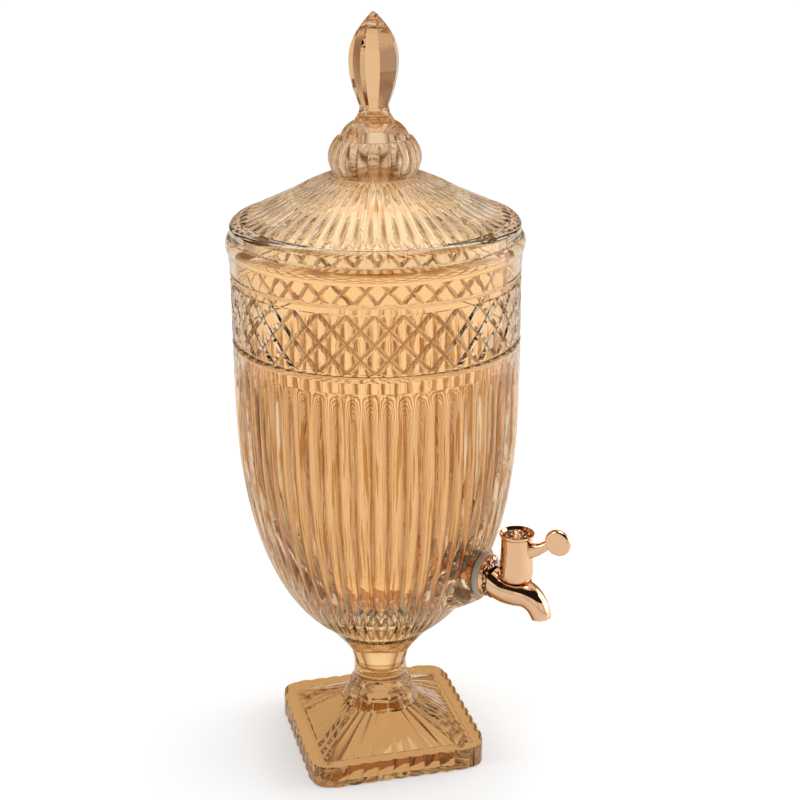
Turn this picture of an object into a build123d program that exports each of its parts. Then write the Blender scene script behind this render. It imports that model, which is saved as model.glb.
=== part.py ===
"""Pressed-glass drink dispenser: reeded bowl on a square foot, lift-off lid and quarter-turn tap.

Millimetres. The origin is the middle of the foot's underside, +Z is up and +X points along the tap.
"""
import os
from math import cos, pi, radians, sin

from build123d import *

# Foot: a square pressing, turned so that one corner lies under the tap
foot_side = 112.0
foot_turn = 45.0
foot_corner_r = 12.0
foot_edge_h = 14.0
foot_border = 8.0
foot_well_depth = 1.2
foot_well_gap = 2.4
foot_scallops = 9
foot_scallop_depth = 1.2
foot_flutes = 10
foot_plain_flutes = 4
foot_flute_depth = 1.6
foot_plain_depth = 0.15
foot_ledge = 1.2
foot_rim = 11.0
foot_hollow_corner_r = 6.0
foot_hollow_h = 28.0
foot_roof_r = 11.5
foot_roof_flat = 0.4
pyramid_rise = 15.0
collar_r = 25.5
collar_petals = 12
collar_petal_depth = 1.6
collar_waist_r = 21.6
collar_top_r = 19.4
collar_rise = 12.0
collar_ledge = 0.6
foot_neck_rise = 9.0

# Stem and bowl
stem_r = 16.4
stem_straight = 3.0
flare_swell = 9.2
flare_drop = 11.5
bowl_base_rise = 25.0
reed_foot_rise = 10.0
floor_rise = 6.0
bowl_height = 285.0
bowl_r = 85.7
bowl_fullness = 2.3
wall = 5.0
mouth_flare = 0.8
shoulder_gap = 21.0
reed_count = 56
reed_depth_share = 0.155
reed_fade = 13.0
reed_end_depth = 0.12
reed_ledge = 0.3
reed_top_gap = 8.0

# Rim bead, rings and cut band, from the rim down
bead_proud = 2.3
bead_h = 9.0
bead_neck = 1.2
bead_lip = 1.6
upper_ring_drop = 21.2
upper_strip_h = 4.8
band_h = 34.0
lower_strip_h = 3.0
band_columns = 34
band_rows = 2
band_turn = -0.85
groove_depth = 1.5
diamond_share = 0.72
strip_inset = 1.7
ring_rise = 1.9
ring_half = 1.6

# Tap seat in the bowl wall
tap_rise = 82.0
boss_proud = 3.6
boss_depth = 13.0
boss_margin = 3.0
boss_swell = 4.6
boss_swell_depth = 6.7
boss_root = 11.5
boss_root_depth = 20.0
inner_seat_margin = 3.5
tap_hole_clearance = 0.5

# Lid, from its seat on the rim up
lid_gap = 0.2
lid_setback = 2.8
lid_edge_h = 5.8
lid_round_in = 1.5
lid_round_h = 2.0
lid_shoulder_in = 4.4
lid_shoulder_rise = 3.2
cone_rise = 25.0
lid_wall = 5.5
lid_skirt_clearance = 1.0
lid_skirt_t = 5.0
lid_skirt_h = 6.0
lid_reeds = 56
lid_reed_depth = 2.2
lid_reed_fade = 3.0
lid_reed_middle = 0.55
bulb_r = 27.2
bulb_foot_proud = 0.8
bulb_widest_rise = 10.0
bulb_rise = 21.5
bulb_top_in = 4.7
bulb_ribs = 24
bulb_rib_depth = 1.1
bulb_wall = 10.2
bulb_hollow_rise = 12.0
dome_rise = 9.3
neck_ring_r = 12.3
throat_rise = 8.2
neck_r = 8.5
finial_swell = 6.3
finial_swell_rise = 26.0
finial_point_rise = 27.2
finial_tip_r = 0.5
finial_fullness = 2.1
finial_facets = 8

# Tap body and its fixing, lengths along the tap and heights from the tap's own axis
outer_washer_t = 3.5
outer_washer_r = 13.5
inner_washer_t = 3.0
inner_washer_r = 13.0
slip_washer_t = 1.0
slip_washer_r = 12.5
nut_flats = 24.0
nut_t = 6.0
shank_r = 8.0
shank_proud = 4.0
shank_clearance = 0.3
thread_clearance = 0.05
flange_r = 12.8
flange_t = 2.4
flange_cone = 2.0
tap_neck_r = 8.2
tap_reach = 19.5
body_inset = 0.6
body_top = 1.6
port_drop = 4.5
tower_h = 18.0
throat_drop = 1.8
throat_r = 8.8
belly_back = 8.7
belly_drop = 6.2
belly_r = 8.9
body_drop = 6.0
bend_reach = 7.4
bend_drop = 6.4
bend_r = 8.3
droop_reach = 14.6
droop_drop = 12.0
droop_r = 7.0
spout_reach = 17.5
spout_drop = 19.5
spout_r = 6.1
spout_tilt = 81.0
flow_r = 3.2

# Valve plug, its seals and its gland
plug_r = 5.55
plug_fit = 0.05
plug_floor = 12.0
plug_end_play = 0.1
plug_stem_r = 4.2
gland_wall = 1.0
gland_t = 4.5
gland_slot_w = 1.4
gland_slot_depth = 1.0
drive_side = 5.6
drive_h = 6.0
drive_fit = 0.05
o_ring_section = 1.4
o_ring_squeeze = 0.02
groove_play = 0.2
lower_o_ring_drop = 9.7
upper_o_ring_rise = 3.0

# Tap handle: a deep cup over the tower, with a lever and a round paddle
handle_wall = 2.0
handle_gap = 0.4
handle_lip = 0.4
handle_lip_h = 2.6
handle_lip_flat = 0.5
handle_waist = 0.7
handle_foot_in = 1.5
handle_belly_h = 9.0
skirt_gap = 0.4
web_gap = 1.5
web_t = 7.2
cap_rim = 1.5
cap_t = 1.6
cap_sink = 1.6
cap_gap = 0.1
cap_fit = 0.05
cap_ledge = 1.4
screw_r = 1.5
screw_length = 7.0
screw_head_r = 2.8
screw_head_t = 2.0
screw_slot_w = 0.8
screw_slot_depth = 0.9
lever_root_h = 10.4
lever_root_w = 6.4
lever_waist_h = 8.2
lever_waist_w = 4.6
lever_waist_reach = 15.0
lever_waist_drop = 7.2
lever_tip_w = 3.3
lever_drop = 9.9
paddle_reach = 26.7
paddle_r = 8.2
paddle_t = 3.8
paddle_round = 1.3
paddle_drop = 0.5
stop_w = 1.0
stop_h = 1.0
quarter_turn = 90.0
stop_play = 1.0

# Places worked out from the sizes above
collar_z = foot_edge_h + pyramid_rise
collar_top_z = collar_z + collar_rise
foot_height = collar_top_z + foot_neck_rise
bowl_base_z = foot_height + bowl_base_rise
reed_foot_z = bowl_base_z + reed_foot_rise
floor_z = reed_foot_z + floor_rise
tap_z = foot_height + tap_rise
rim_z = foot_height + bowl_height
bead_z = rim_z - bead_h
upper_ring_z = rim_z - upper_ring_drop
band_top_z = upper_ring_z - upper_strip_h
band_bottom_z = band_top_z - band_h
lower_ring_z = band_bottom_z - lower_strip_h
reed_top_z = lower_ring_z - reed_top_gap
shoulder_z = reed_top_z - shoulder_gap
bead_r = bowl_r + bead_proud
strip_r = bowl_r - strip_inset
inner_r = bowl_r - wall
mouth_r = inner_r + mouth_flare
lid_z = rim_z + lid_gap
lid_edge_r = bead_r - lid_setback
lid_shoulder_h = lid_edge_h + lid_shoulder_rise
bulb_foot_h = lid_shoulder_h + cone_rise
bulb_h = bulb_foot_h + bulb_widest_rise
bulb_top_h = bulb_foot_h + bulb_rise
neck_ring_h = bulb_top_h + dome_rise
neck_h = neck_ring_h + throat_rise
finial_widest_h = neck_h + finial_swell_rise
finial_tip_h = finial_widest_h + finial_point_rise
finial_r = neck_r + finial_swell
bulb_foot_r = bulb_r + bulb_foot_proud
bulb_top_r = bulb_r - bulb_top_in
bulb_hollow_r = bulb_r - bulb_wall
bulb_hollow_h = bulb_foot_h + bulb_hollow_rise


def polar(radius, angle):
    """Point at a radius and an angle in degrees."""
    return (radius * cos(radians(angle)), radius * sin(radians(angle)))


def turned(point, angle):
    """A flat point turned about the origin."""
    x, y = point
    c, s = cos(radians(angle)), sin(radians(angle))
    return (x * c - y * s, x * s + y * c)


def full_curve(height, widest, top, bottom):
    """Radius of a full rounded bowl between its widest height and its lowest point."""
    share = max((top - height) / (top - bottom), 0)
    return widest * (1 - share**bowl_fullness) ** (1 / bowl_fullness)


def bowl_radius(height):
    return full_curve(height, bowl_r, shoulder_z, bowl_base_z)


def foot_plane(height):
    """Level plane whose axes follow the foot's sides."""
    return Plane(origin=(0, 0, height), x_dir=(*polar(1, foot_turn), 0), z_dir=(0, 0, 1))


def flute_ring(plane, base, depths, turn):
    """Outline of a ring of rounded flutes that rise from one circle, each by its own depth."""
    step = 360 / len(depths)
    with BuildSketch(plane) as outline:
        with BuildLine():
            for k, depth in enumerate(depths):
                ThreePointArc(
                    polar(base, turn + (k - 0.5) * step),
                    polar(base + depth, turn + k * step),
                    polar(base, turn + (k + 0.5) * step),
                )
        make_face()
    return outline.sketch.face()


def arc_ring(plane, crest, depth, count, turn=0.0):
    """Outline of count rounded reeds whose crests touch one circle."""
    return flute_ring(plane, crest - depth, [depth] * count, turn)


def flute_square(plane, side, depths):
    """Outline of a square with rounded flutes along each side, from the first corner on."""
    pitch = side / len(depths)
    with BuildSketch(plane) as outline:
        with BuildLine():
            for quarter in range(4):
                for k, depth in enumerate(depths):
                    start = k * pitch - side / 2
                    ThreePointArc(
                        turned((side / 2, start), 90 * quarter),
                        turned((side / 2 + depth, start + pitch / 2), 90 * quarter),
                        turned((side / 2, start + pitch), 90 * quarter),
                    )
        make_face()
    return outline.sketch.face()


def diamond_drum():
    """Solid drum with a belt of cut diamonds: points between crossing grooves, ground off to the round."""
    columns = 2 * band_columns
    levels = 2 * band_rows
    rise = (band_top_z - band_bottom_z) / levels
    point_proud = groove_depth / (1 - diamond_share) - groove_depth

    def corner(level, column):
        proud = point_proud if (level + column) % 2 == 0 else -groove_depth
        x, y = polar(bowl_r + proud, band_turn + 360 * column / columns)
        return Vector(x, y, band_bottom_z + level * rise)

    rings = [[corner(level, column) for column in range(columns)] for level in range(levels + 1)]
    facets = [Face(Wire.make_polygon(ring)) for ring in (rings[0], rings[levels])]
    for level in range(levels):
        for column in range(columns):
            after = (column + 1) % columns
            a, b = rings[level][column], rings[level][after]
            c, d = rings[level + 1][after], rings[level + 1][column]
            halves = ((a, b, d), (b, c, d)) if (level + column) % 2 == 0 else ((a, b, c), (a, c, d))
            facets += [Face(Wire.make_polygon(half)) for half in halves]
    drum = Solid.make_cylinder(bowl_r, bowl_height, Plane.XY.offset(foot_height))
    return Solid(Shell(facets)).intersect(drum)


def tube_along(path, stations):
    """Sections of a round tube that follows a path, as pairs of a place on the path and a radius."""
    sections = []
    for place, radius in stations:
        with BuildSketch(Plane(origin=place, x_dir=(0, 1, 0), z_dir=path.tangent_at(place))) as section:
            Circle(radius)
        sections.append(section.sketch.face())
    return sections


def finial_radius(height):
    """Corner radius of the faceted bud: a swelling lower half and a pointed upper half."""
    if height < finial_widest_h:
        share = (height - neck_h) / (finial_widest_h - neck_h)
        return neck_r + (finial_r - neck_r) * sin(pi / 2 * share)
    share = (height - finial_widest_h) / (finial_tip_h - finial_widest_h)
    return finial_tip_r + (finial_r - finial_tip_r) * (1 - share**finial_fullness)


os.makedirs("parts", exist_ok=True)

# Foot: scalloped plinth, sunk border, fluted pyramid, petal collar and the foot of the stem
foot_flat = foot_side - 2 * foot_corner_r
plinth_base = foot_side / 2 - foot_scallop_depth
scallop_pitch = foot_flat / foot_scallops
well_side = foot_side - 2 * foot_border
well_z = foot_edge_h - foot_well_depth
flute_side = well_side - 2 * foot_well_gap
flute_head_r = collar_r - foot_ledge
flute_turn = 45 / foot_flutes - 45
corner_flutes = (foot_flutes - foot_plain_flutes) // 2 * [foot_flute_depth]
flute_depths = corner_flutes + foot_plain_flutes * [foot_plain_depth] + corner_flutes
collar_waist_z = (collar_z + collar_top_z) / 2
with BuildPart() as foot:
    with BuildSketch(foot_plane(0)):
        with BuildLine():
            for quarter in range(4):
                for k in range(foot_scallops):
                    start = k * scallop_pitch - foot_flat / 2
                    ThreePointArc(
                        turned((plinth_base, start), 90 * quarter),
                        turned((foot_side / 2, start + scallop_pitch / 2), 90 * quarter),
                        turned((plinth_base, start + scallop_pitch), 90 * quarter),
                    )
                ThreePointArc(
                    turned((plinth_base, foot_flat / 2), 90 * quarter),
                    turned(polar(foot_flat / 2**0.5 + plinth_base - foot_flat / 2, 45), 90 * quarter),
                    turned((foot_flat / 2, plinth_base), 90 * quarter),
                )
        make_face()
    extrude(amount=foot_edge_h)
    with BuildSketch(foot_plane(well_z)):
        Rectangle(well_side, well_side)
    extrude(amount=foot_well_depth, mode=Mode.SUBTRACT)
    flute_foot = flute_square(foot_plane(well_z), flute_side, flute_depths)
    flute_base_r = flute_head_r - foot_flute_depth
    flute_head = flute_ring(foot_plane(collar_z), flute_base_r, 4 * flute_depths, flute_turn)
    loft([flute_foot, flute_head])
    loft(
        [
            arc_ring(Plane.XY.offset(collar_z), collar_r, collar_petal_depth, collar_petals),
            arc_ring(Plane.XY.offset(collar_waist_z), collar_waist_r, collar_petal_depth, collar_petals),
            arc_ring(Plane.XY.offset(collar_top_z), collar_top_r, reed_end_depth, collar_petals),
        ]
    )
    with BuildSketch(Plane.XZ):
        with BuildLine():
            sweep_in = Spline(
                (stem_r, foot_height),
                (collar_top_r - collar_ledge, collar_top_z),
                tangents=[(0, -1), (0.5, -1)],
            )
            Polyline(sweep_in @ 1, (0, collar_top_z), (0, foot_height), sweep_in @ 0)
        make_face()
    revolve(axis=Axis.Z)
    with BuildSketch(foot_plane(0)) as hollow_mouth:
        RectangleRounded(foot_side - 2 * foot_rim, foot_side - 2 * foot_rim, foot_hollow_corner_r)
    with BuildSketch(foot_plane(foot_hollow_h)) as hollow_roof:
        RectangleRounded(2 * foot_roof_r, 2 * foot_roof_r, foot_roof_r - foot_roof_flat / 2)
    loft([hollow_mouth.sketch, hollow_roof.sketch], mode=Mode.SUBTRACT)
foot.part.label = "glass_foot"
export_step(foot.part, "parts/glass_foot.step")

# Bowl: stem, reeded wall, cut band between two rings, plain collar and rim bead, all one pressing
reed_foot_r = bowl_radius(reed_foot_z)
full_reeds = reed_top_z - reed_fade - reed_foot_z
reed_steps = (0, 0.05, 0.12, 0.22, 0.36, 0.6, 1)
hollow_depth = shoulder_z - floor_z
hollow_steps = (0, 0.3, 0.55, 0.75, 0.9, 0.97)
boss_face_x = bowl_radius(tap_z) + boss_proud
boss_face_r = outer_washer_r + boss_margin
inner_seat_r = inner_washer_r + inner_seat_margin
tap_hole_r = shank_r + tap_hole_clearance
inner_seat_x = boss_face_x - boss_depth
tap_axis = Axis((0, 0, tap_z), (1, 0, 0))


def seat_plane(distance):
    """Upright plane square to the tap, at a distance from the bowl's axis."""
    return Plane(origin=(distance, 0, tap_z), x_dir=(0, 1, 0), z_dir=(1, 0, 0))


def inner_radius(height):
    return full_curve(height, inner_r, shoulder_z, floor_z)


with BuildPart() as bowl:
    with BuildSketch(Plane.XZ):
        with BuildLine():
            flare = Spline(
                (stem_r, foot_height + stem_straight),
                (stem_r + flare_swell, reed_foot_z - flare_drop),
                (reed_foot_r + reed_ledge, reed_foot_z),
                tangents=[(0, 1), (1, 1)],
            )
            Polyline(flare @ 1, (0, reed_foot_z), (0, foot_height), (stem_r, foot_height), flare @ 0)
        make_face()
    revolve(axis=Axis.Z)
    reeds = []
    for step in reed_steps:
        height = reed_foot_z + full_reeds * step
        crest = bowl_radius(height)
        depth = reed_depth_share * 2 * pi * crest / reed_count
        reeds.append(arc_ring(Plane.XY.offset(height), crest, depth, reed_count))
    reeds.append(arc_ring(Plane.XY.offset(reed_top_z), bowl_r, reed_end_depth, reed_count))
    loft(reeds)
    with BuildSketch(Plane.XZ):
        with BuildLine():
            lower_ring = ThreePointArc(
                (bowl_r, lower_ring_z - ring_half),
                (strip_r + ring_rise, lower_ring_z),
                (strip_r, lower_ring_z + ring_half),
            )
            Polyline(lower_ring @ 1, (strip_r, band_bottom_z), (0, band_bottom_z), (0, reed_top_z))
            Polyline((0, reed_top_z), (bowl_r + reed_ledge, reed_top_z), lower_ring @ 0)
        make_face()
    revolve(axis=Axis.Z)
    add(diamond_drum())
    with BuildSketch(Plane.XZ):
        with BuildLine():
            upper_ring = ThreePointArc(
                (strip_r, upper_ring_z - ring_half),
                (strip_r + ring_rise, upper_ring_z),
                (bowl_r, upper_ring_z + ring_half),
            )
            bead = ThreePointArc(
                (bead_r - bead_neck, bead_z), (bead_r, rim_z - bead_h / 2), (bead_r - bead_lip, rim_z)
            )
            Line(upper_ring @ 1, bead @ 0)
            Polyline(bead @ 1, (0, rim_z), (0, band_top_z), (strip_r, band_top_z), upper_ring @ 0)
        make_face()
    revolve(axis=Axis.Z)
    with BuildSketch(Plane.XZ):
        with BuildLine():
            boss_side = ThreePointArc(
                (boss_face_x - boss_root_depth, tap_z + boss_face_r + boss_root),
                (boss_face_x - boss_swell_depth, tap_z + boss_face_r + boss_swell),
                (boss_face_x, tap_z + boss_face_r),
            )
            Polyline(
                boss_side @ 1, (boss_face_x, tap_z), (boss_face_x - boss_root_depth, tap_z), boss_side @ 0
            )
        make_face()
    revolve(axis=tap_axis)
    with BuildSketch(Plane.XZ):
        with BuildLine():
            heights = [shoulder_z - hollow_depth * step for step in hollow_steps]
            hollow = [(inner_radius(height), height) for height in heights]
            inside = Spline(*hollow, (0, floor_z), tangents=[(0, -1), (-1, 0)])
            Polyline(inside @ 1, (0, rim_z), (mouth_r, rim_z), inside @ 0)
        make_face()
    revolve(axis=Axis.Z, mode=Mode.SUBTRACT)
    with BuildSketch(seat_plane(inner_seat_x)):
        Circle(inner_seat_r)
    extrude(amount=boss_depth / 2)
    with BuildSketch(seat_plane(inner_seat_x)):
        Circle(inner_seat_r)
    extrude(amount=-inner_seat_x, mode=Mode.SUBTRACT)
    with BuildSketch(seat_plane(boss_face_x)):
        Circle(boss_face_r)
    extrude(amount=boss_face_x, mode=Mode.SUBTRACT)
    with BuildSketch(seat_plane(inner_seat_x)):
        Circle(tap_hole_r)
    extrude(amount=boss_depth, mode=Mode.SUBTRACT)
bowl.part.label = "glass_bowl"
export_step(bowl.part, "parts/glass_bowl.step")

# Lid: locating skirt, edge, reeded cone, ribbed bulb, small dome and faceted finial, all one pressing
skirt_r = mouth_r - lid_skirt_clearance
shoulder_r = lid_edge_r - lid_shoulder_in
cone_slope = (bulb_foot_h - lid_shoulder_h) / (shoulder_r - bulb_foot_r)
well_r = skirt_r - lid_skirt_t
rib_levels = 4
bud_steps = (0, 0.12, 0.28, 0.48, 0.64, 0.8, 0.92, 1)


def lid_plane(height):
    return Plane.XY.offset(lid_z + height)


def cone_radius(height):
    """Crest radius of the lid's cone at a height above the seat."""
    return shoulder_r - (height - lid_shoulder_h) / cone_slope


def under_cone(radius):
    """Height of the lid's inner cone at a radius."""
    return lid_z + lid_shoulder_h + (shoulder_r - radius) * cone_slope - lid_wall


def lid_reed(height, share):
    """Outline of the lid's reeds at a height, with a share of their full depth."""
    crest = cone_radius(height)
    depth = max(share * lid_reed_depth * crest / shoulder_r, reed_end_depth)
    return arc_ring(lid_plane(height), crest, depth, lid_reeds)


with BuildPart() as lid:
    with BuildSketch(Plane.XZ):
        with BuildLine():
            edge = ThreePointArc(
                (lid_edge_r, lid_z + lid_edge_h),
                (lid_edge_r - lid_round_in, lid_z + lid_edge_h + lid_round_h),
                (shoulder_r + reed_ledge, lid_z + lid_shoulder_h),
            )
            Polyline(edge @ 1, (0, lid_z + lid_shoulder_h), (0, lid_z), (lid_edge_r, lid_z), edge @ 0)
        make_face()
    revolve(axis=Axis.Z)
    loft(
        [
            lid_reed(lid_shoulder_h, 0),
            lid_reed(lid_shoulder_h + lid_reed_fade, 1),
            lid_reed((lid_shoulder_h + bulb_foot_h) / 2, lid_reed_middle),
            lid_reed(bulb_foot_h, 0),
        ]
    )
    ribs = []
    for level in range(rib_levels + 1):
        height = bulb_foot_h + (bulb_top_h - bulb_foot_h) * level / rib_levels
        crest = bulb_r - (bulb_r - bulb_top_r) * ((height - bulb_h) / (bulb_top_h - bulb_h)) ** 2
        ribs.append(arc_ring(lid_plane(height), crest, bulb_rib_depth * crest / bulb_r, bulb_ribs))
    loft(ribs)
    with BuildSketch(Plane.XZ):
        with BuildLine():
            dome = Spline(
                (bulb_top_r - 2 * bulb_rib_depth, lid_z + bulb_top_h),
                (neck_ring_r, lid_z + neck_ring_h),
                tangents=[(-0.3, 1), (-1, 0.5)],
            )
            throat = Spline(
                (neck_ring_r - reed_ledge, lid_z + neck_ring_h),
                (neck_r, lid_z + neck_h),
                tangents=[(-0.6, 1), (0, 1)],
            )
            Line(dome @ 1, throat @ 0)
            Polyline(throat @ 1, (0, lid_z + neck_h), (0, lid_z + bulb_top_h), dome @ 0)
        make_face()
    revolve(axis=Axis.Z)
    bud = []
    for step in bud_steps:
        height = neck_h + step * (finial_tip_h - neck_h)
        with BuildSketch(lid_plane(height)) as facet_ring:
            RegularPolygon(finial_radius(height), finial_facets)
        bud.append(facet_ring.sketch.face())
    loft(bud)
    with BuildSketch(Plane.XZ):
        with BuildLine():
            roof = Spline(
                (bulb_hollow_r, under_cone(bulb_hollow_r)),
                (0, lid_z + bulb_hollow_h),
                tangents=[(-0.1, 1), (-1, 0)],
            )
            Polyline(roof @ 1, (0, lid_z), (well_r, lid_z), (well_r, under_cone(well_r)), roof @ 0)
        make_face()
    revolve(axis=Axis.Z, mode=Mode.SUBTRACT)
    with BuildSketch(Plane.XY.offset(lid_z)):
        Circle(skirt_r)
        Circle(well_r, mode=Mode.SUBTRACT)
    extrude(amount=-lid_skirt_h)
lid.part.label = "glass_lid"
export_step(lid.part, "parts/glass_lid.step")

# Tap body: shank, flange, necked body with a tower for the valve, and a drooping spout, one casting
flange_x = boss_face_x + outer_washer_t
neck_x = flange_x + flange_t + flange_cone
valve_x = boss_face_x + outer_washer_t + tap_reach
nut_face_x = inner_seat_x - inner_washer_t - slip_washer_t
shank_end_x = nut_face_x - nut_t - shank_proud
port_z = tap_z - port_drop
body_z = tap_z - body_drop
tower_z = tap_z + tower_h
plug_bore_r = plug_r + plug_fit
gland_r = plug_bore_r + gland_wall
tower_r = gland_r + stop_w
cup_r = tower_r + skirt_gap
handle_r = cup_r + handle_wall
handle_lip_r = handle_r + handle_lip
body_r = handle_r - body_inset
plug_floor_z = tap_z - plug_floor
gland_floor_z = tower_z - gland_t
web_z = tower_z + web_gap
outlet = (valve_x + spout_reach, 0, tap_z - spout_drop)
outlet_way = (cos(radians(spout_tilt)), 0, -sin(radians(spout_tilt)))
body_stations = (
    ((flange_x + flange_t, 0, tap_z - throat_drop), throat_r),
    ((valve_x - belly_back, 0, tap_z - belly_drop), belly_r),
    ((valve_x, 0, body_z), body_r),
    ((valve_x + bend_reach, 0, tap_z - bend_drop), bend_r),
    ((valve_x + droop_reach, 0, tap_z - droop_drop), droop_r),
    (outlet, spout_r),
)
with BuildLine() as body_line:
    Spline(*[place for place, radius in body_stations], tangents=[(1, 0, 0), outlet_way])
body_path = body_line.edge()
with BuildLine() as waterway:
    Spline(
        (neck_x, 0, tap_z), (valve_x, 0, port_z), outlet, tangents=[(1, 0, -0.6), (1, 0, -0.1), outlet_way]
    )
water_path = waterway.edge()
water_steps = 4
water_stations = [(water_path @ (k / water_steps), flow_r) for k in range(water_steps + 1)]


def valve_plane(height):
    """Level plane centred on the valve's upright axis."""
    return Plane(origin=(valve_x, 0, height), x_dir=(1, 0, 0), z_dir=(0, 0, 1))


def stop_sector(plane, start, sweep):
    """Part of a ring, between the gland and the tower's outside, over a range of angles."""
    with BuildSketch(plane) as sector:
        with BuildLine():
            inner = CenterArc((0, 0), gland_r, start, sweep)
            outer = CenterArc((0, 0), tower_r, start, sweep)
            Line(inner @ 0, outer @ 0)
            Line(inner @ 1, outer @ 1)
        make_face()
    return sector.sketch


def ring_on_tap(start, length, outer, inner):
    """Flat ring threaded on the shank."""
    with BuildPart() as ring:
        with BuildSketch(seat_plane(start)):
            Circle(outer)
            Circle(inner, mode=Mode.SUBTRACT)
        extrude(amount=length)
    return ring.part


with BuildPart() as tap_body:
    loft(tube_along(body_path, body_stations))
    with BuildSketch(seat_plane(flange_x)):
        Circle(2 * flange_r)
    extrude(amount=-outer_washer_t, mode=Mode.SUBTRACT)
    with BuildSketch(Plane.XZ):
        with BuildLine():
            Polyline(
                (shank_end_x, tap_z),
                (shank_end_x, tap_z + shank_r),
                (flange_x, tap_z + shank_r),
                (flange_x, tap_z + flange_r),
                (flange_x + flange_t, tap_z + flange_r),
                (neck_x, tap_z + tap_neck_r),
                (neck_x, tap_z),
                close=True,
            )
        make_face()
    revolve(axis=tap_axis)
    with BuildSketch(valve_plane(tap_z + body_top)):
        Circle(handle_r + skirt_gap)
    extrude(amount=tower_h, mode=Mode.SUBTRACT)
    with BuildSketch(valve_plane(body_z)):
        Circle(body_r)
    extrude(amount=body_drop + body_top)
    with BuildSketch(valve_plane(body_z)):
        Circle(tower_r)
    extrude(amount=tower_h + body_drop)
    extrude(stop_sector(valve_plane(tower_z), -quarter_turn, 360 - 2 * quarter_turn), amount=stop_h)
    loft(tube_along(water_path, water_stations), mode=Mode.SUBTRACT)
    with BuildSketch(seat_plane(neck_x)):
        Circle(flow_r)
    extrude(amount=shank_end_x - neck_x, mode=Mode.SUBTRACT)
    with BuildSketch(valve_plane(plug_floor_z)):
        Circle(plug_bore_r)
    extrude(amount=plug_floor + tower_h, mode=Mode.SUBTRACT)
    with BuildSketch(valve_plane(gland_floor_z)):
        Circle(gland_r)
    extrude(amount=gland_t, mode=Mode.SUBTRACT)
tap_body.part.label = "tap_body"
export_step(tap_body.part, "parts/tap_body.step")

# Rings that clamp the tap in the bowl wall, from the outside in
outer_washer = ring_on_tap(boss_face_x, outer_washer_t, outer_washer_r, shank_r + shank_clearance)
outer_washer.label = "outer_washer"
export_step(outer_washer, "parts/outer_washer.step")

inner_washer = ring_on_tap(inner_seat_x, -inner_washer_t, inner_washer_r, shank_r + shank_clearance)
inner_washer.label = "inner_washer"
export_step(inner_washer, "parts/inner_washer.step")

slip_washer = ring_on_tap(nut_face_x, slip_washer_t, slip_washer_r, shank_r + shank_clearance)
slip_washer.label = "slip_washer"
export_step(slip_washer, "parts/slip_washer.step")

with BuildPart() as lock_nut:
    with BuildSketch(seat_plane(nut_face_x)):
        RegularPolygon(nut_flats / 2, 6, major_radius=False)
        Circle(shank_r + thread_clearance, mode=Mode.SUBTRACT)
    extrude(amount=-nut_t)
lock_nut.part.label = "lock_nut"
export_step(lock_nut.part, "parts/lock_nut.step")

# Valve plug: a cylinder with a cross port, two seal grooves, a thin stem and a square drive
plug_foot_z = plug_floor_z + plug_end_play
plug_shoulder_z = gland_floor_z - plug_end_play
lower_o_ring_z = tap_z - lower_o_ring_drop
upper_o_ring_z = tap_z + upper_o_ring_rise
o_ring_outer_r = plug_r + o_ring_squeeze
with BuildPart() as valve_plug:
    with BuildSketch(valve_plane(plug_foot_z)):
        Circle(plug_r)
    extrude(amount=plug_shoulder_z - plug_foot_z)
    with BuildSketch(valve_plane(plug_shoulder_z)):
        Circle(plug_stem_r)
    extrude(amount=web_z - plug_shoulder_z)
    with BuildSketch(valve_plane(web_z)):
        Rectangle(drive_side, drive_side)
    extrude(amount=drive_h)
    for height in (lower_o_ring_z, upper_o_ring_z):
        with BuildSketch(valve_plane(height - o_ring_section / 2 - groove_play / 2)):
            Circle(plug_r)
            Circle(o_ring_outer_r - o_ring_section - o_ring_squeeze, mode=Mode.SUBTRACT)
        extrude(amount=o_ring_section + groove_play, mode=Mode.SUBTRACT)
    with BuildSketch(Plane(origin=(valve_x, 0, port_z), x_dir=(1, 0, 0), z_dir=(0, -1, 0))):
        Circle(flow_r)
    extrude(amount=plug_r, both=True, mode=Mode.SUBTRACT)
    with BuildSketch(valve_plane(web_z + web_t)):
        Circle(screw_r + thread_clearance)
    extrude(amount=-screw_length - 2 * screw_r, mode=Mode.SUBTRACT)
valve_plug.part.label = "valve_plug"
export_step(valve_plug.part, "parts/valve_plug.step")

for seal_name, seal_z in (("lower_o_ring", lower_o_ring_z), ("upper_o_ring", upper_o_ring_z)):
    with BuildPart() as o_ring:
        with BuildSketch(Plane(origin=(valve_x, 0, seal_z), x_dir=(1, 0, 0), z_dir=(0, -1, 0))):
            with Locations((o_ring_outer_r - o_ring_section / 2, 0)):
                Circle(o_ring_section / 2)
        revolve(axis=Axis((valve_x, 0, seal_z), (0, 0, 1)))
    o_ring.part.label = seal_name
    export_step(o_ring.part, f"parts/{seal_name}.step")

# Gland ring that keeps the plug down in its bore
with BuildPart() as gland_ring:
    with BuildSketch(valve_plane(gland_floor_z)):
        Circle(gland_r - thread_clearance)
        Circle(plug_stem_r + plug_fit, mode=Mode.SUBTRACT)
    extrude(amount=gland_t)
    with BuildSketch(valve_plane(tower_z)):
        Rectangle(2 * gland_r, gland_slot_w)
    extrude(amount=-gland_slot_depth, mode=Mode.SUBTRACT)
gland_ring.part.label = "gland_ring"
export_step(gland_ring.part, "parts/gland_ring.step")

# Handle: a cup that covers the tower, its drive socket, lever and paddle
handle_z = tap_z + body_top + handle_gap
cap_z = web_z + web_t + screw_head_t + cap_gap
handle_top_z = cap_z + cap_t + cap_sink
handle_h = handle_top_z - handle_z
cap_r = handle_r - cap_rim
lever_z = handle_top_z - lever_drop
paddle_z = handle_top_z - paddle_drop
paddle_x = valve_x + paddle_reach
wall_middle = valve_x + (handle_r + cup_r) / 2
lever_waist_x = valve_x + lever_waist_reach


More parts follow.
